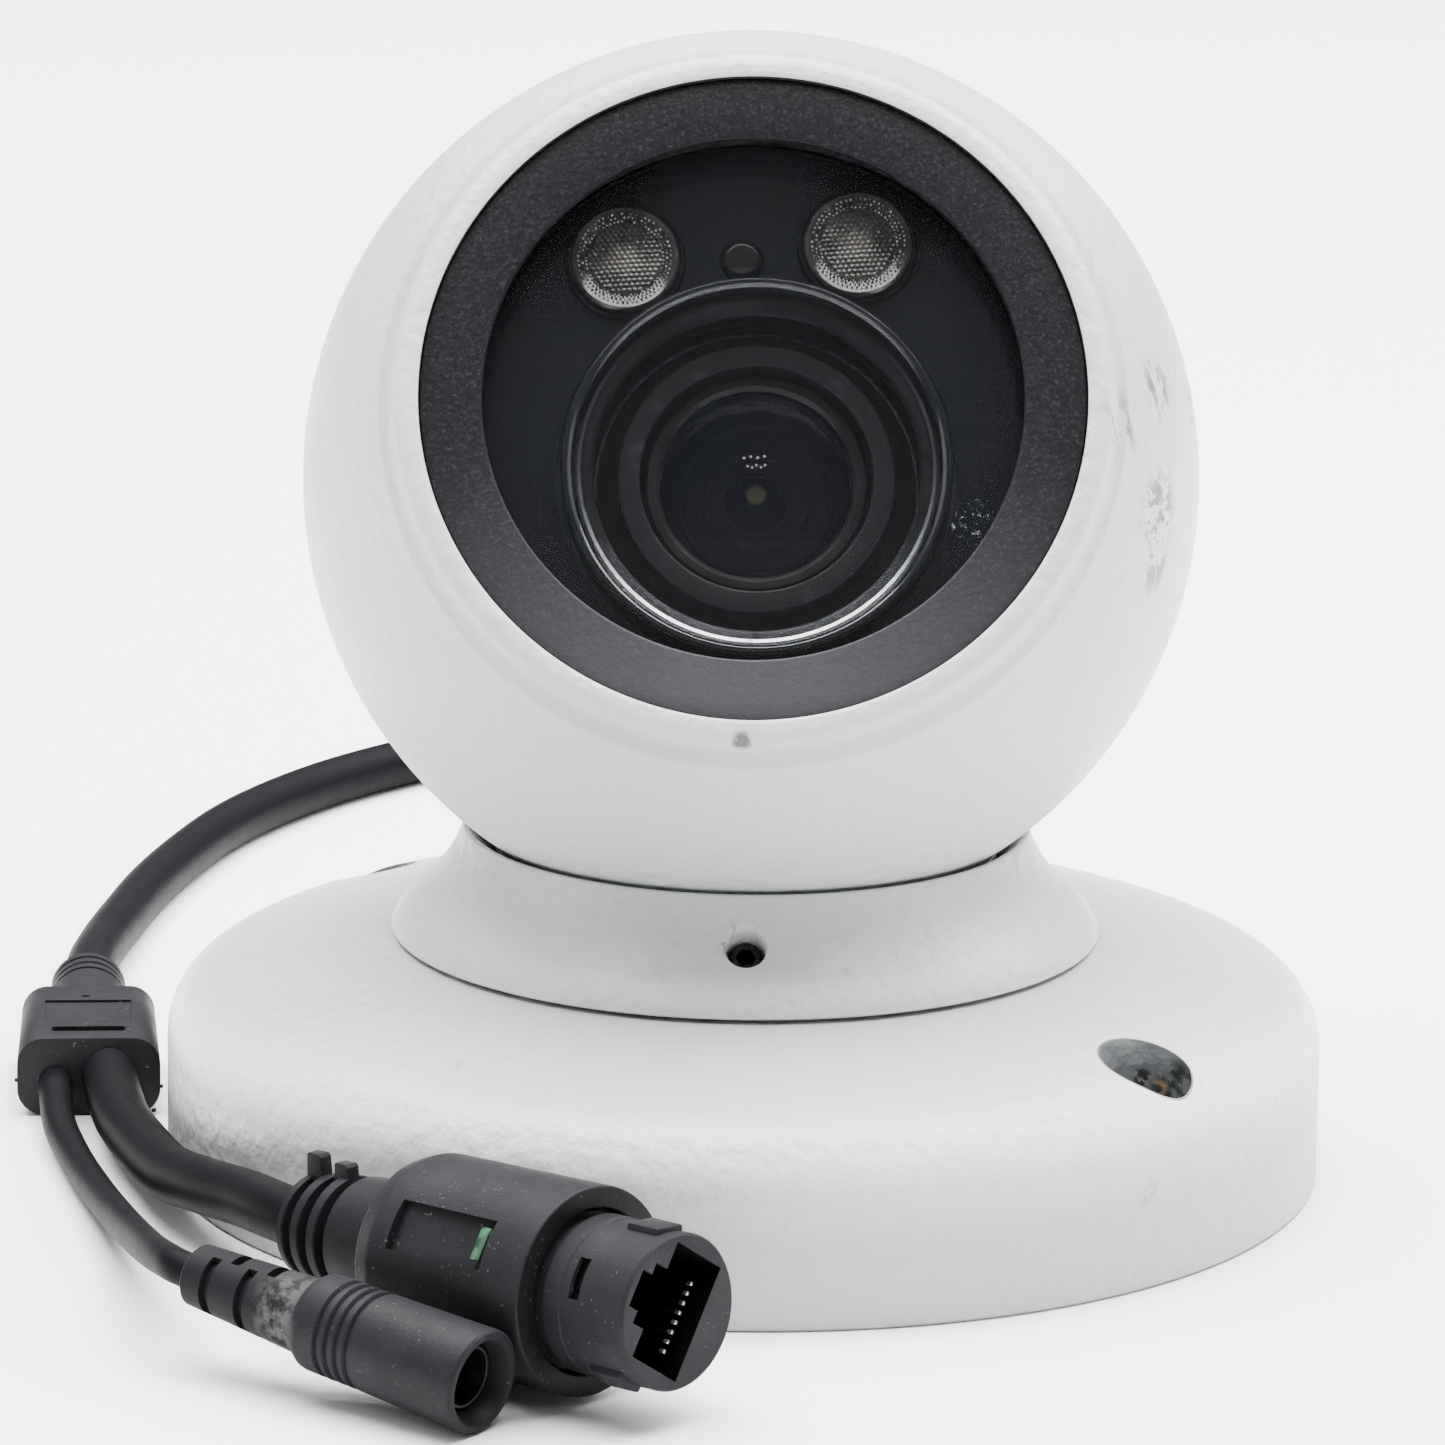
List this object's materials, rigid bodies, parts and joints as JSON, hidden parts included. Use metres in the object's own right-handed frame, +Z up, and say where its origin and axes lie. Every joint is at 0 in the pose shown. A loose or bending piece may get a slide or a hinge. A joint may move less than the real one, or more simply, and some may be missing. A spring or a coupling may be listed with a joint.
{
  "type": "turret security camera",
  "caption": "Turret security camera: painted ball with a flat infrared window, tilting in a flared pan collar on a round base, with a pigtail cable.",
  "frame": {"origin": "centre of the base's bottom rim, on the surface it stands on", "axes": "+Z up along the pan axis, -Y the way the window faces at rest, +X to the right seen from the front"},
  "size_m": [0.1404, 0.2854, 0.1208],
  "materials": {
    "white_paint": "off-white powder coat on die-cast aluminium, fine orange peel",
    "rubber_black": "soft black rubber",
    "nylon": "natural nylon",
    "cable_jacket": "satin dark grey jacket",
    "connector_plastic": "matte black moulded plastic",
    "link_light": "small green light window",
    "gold": "gold-plated contacts",
    "steel": "plated steel",
    "aluminium": "plain aluminium",
    "bezel_black": "matte black, fine speckle",
    "window_glass": "flat tinted window",
    "circuit_board": "green solder mask",
    "gloss_black": "polished black",
    "phosphor": "warm pale emitter",
    "clear_lens": "clear moulded lens",
    "anodised": "black anodised",
    "lens_glass": "coated lens glass",
    "cut_filter": "infrared-cut coating",
    "chip": "black chip package"
  },
  "bodies": {
    "base": {"base_housing": "white_paint", "cable_bush": "rubber_black", "pan_washer": "nylon", "inner_cable": "cable_jacket", "main_cable": "cable_jacket", "cable_splitter": "connector_plastic", "network_lead": "cable_jacket", "network_strain_relief": "rubber_black", "network_socket_body": "connector_plastic", "link_light_window": "link_light", "network_socket_nose": "connector_plastic", "network_contacts": "gold", "power_lead": "cable_jacket", "power_jack_boot": "rubber_black", "power_jack_body": "connector_plastic", "power_jack_sleeve": "steel", "power_jack_pin": "steel"},
    "pan_neck": {"pan_collar": "white_paint", "seat_ring": "nylon", "hollow_stem": "aluminium", "spring_washer": "steel", "stem_nut": "steel", "retaining_ring": "steel", "saddle": "nylon"},
    "lock_screw": {"lock_screw": "steel"},
    "ball": {"ball_front_shell": "white_paint", "ball_rear_shell": "white_paint", "shell_seal": "rubber_black", "window_bezel": "bezel_black", "window_glass": "window_glass", "window_seal": "rubber_black", "module_track": "nylon"},
    "shutter": {"slot_shutter": "white_paint"},
    "camera_module": {"module_bracket": "aluminium", "infrared_board": "circuit_board", "inner_mask": "gloss_black", "led_chip_left": "phosphor", "led_lens_left": "clear_lens", "led_chip_right": "phosphor", "led_lens_right": "clear_lens", "light_sensor": "clear_lens", "lens_shroud": "rubber_black", "lens_trim_ring": "aluminium", "lens_barrel": "anodised", "iris_plate": "anodised", "zoom_motor": "steel", "focus_motor": "steel", "image_sensor": "chip", "sensor_board": "circuit_board", "main_board": "circuit_board", "heat_spreader": "aluminium"},
    "zoom_group": {"zoom_cell": "anodised", "front_lens": "lens_glass"},
    "focus_group": {"focus_cell": "anodised", "focus_lens": "lens_glass"},
    "filter_slider": {"infrared_filter": "cut_filter"}
  },
  "joints": [
    {"name": "pan", "type": "hinge", "parent": "base", "child": "pan_neck", "pos_m": [0, 0, 0.0229], "axis": [0, 0, 1], "range_deg": [-177.5, 177.5]},
    {"name": "lock_screw_travel", "type": "slide", "parent": "pan_neck", "child": "lock_screw", "axis": [0, -0.7431, 0.6691], "range_m": [0, 0.003]},
    {"name": "tilt", "type": "hinge", "parent": "pan_neck", "child": "ball", "pos_m": [0, 0, 0.07406], "axis": [1, 0, 0], "range_deg": [-61.8, 13.2]},
    {"name": "shutter_slide", "type": "hinge", "parent": "pan_neck", "child": "shutter", "pos_m": [0, 0, 0.07406], "axis": [1, 0, 0], "range_deg": [-30.9, 6.6]},
    {"name": "roll", "type": "hinge", "parent": "ball", "child": "camera_module", "pos_m": [0, 0, 0.07406], "axis": [0, -0.8813, 0.4726], "range_deg": [-177.5, 177.5]},
    {"name": "zoom", "type": "slide", "parent": "camera_module", "child": "zoom_group", "axis": [0, -0.8813, 0.4726], "range_m": [-0.003, 0]},
    {"name": "focus", "type": "slide", "parent": "camera_module", "child": "focus_group", "axis": [0, -0.8813, 0.4726], "range_m": [-0.0015, 0.0015]},
    {"name": "filter_switch", "type": "slide", "parent": "camera_module", "child": "filter_slider", "axis": [0.9969, 0.0371, 0.0691], "range_m": [0, 0.0065]}
  ],
  "couplings": [
    {"joint": "shutter_slide", "follows": "tilt", "ratio": 0.5}
  ]
}
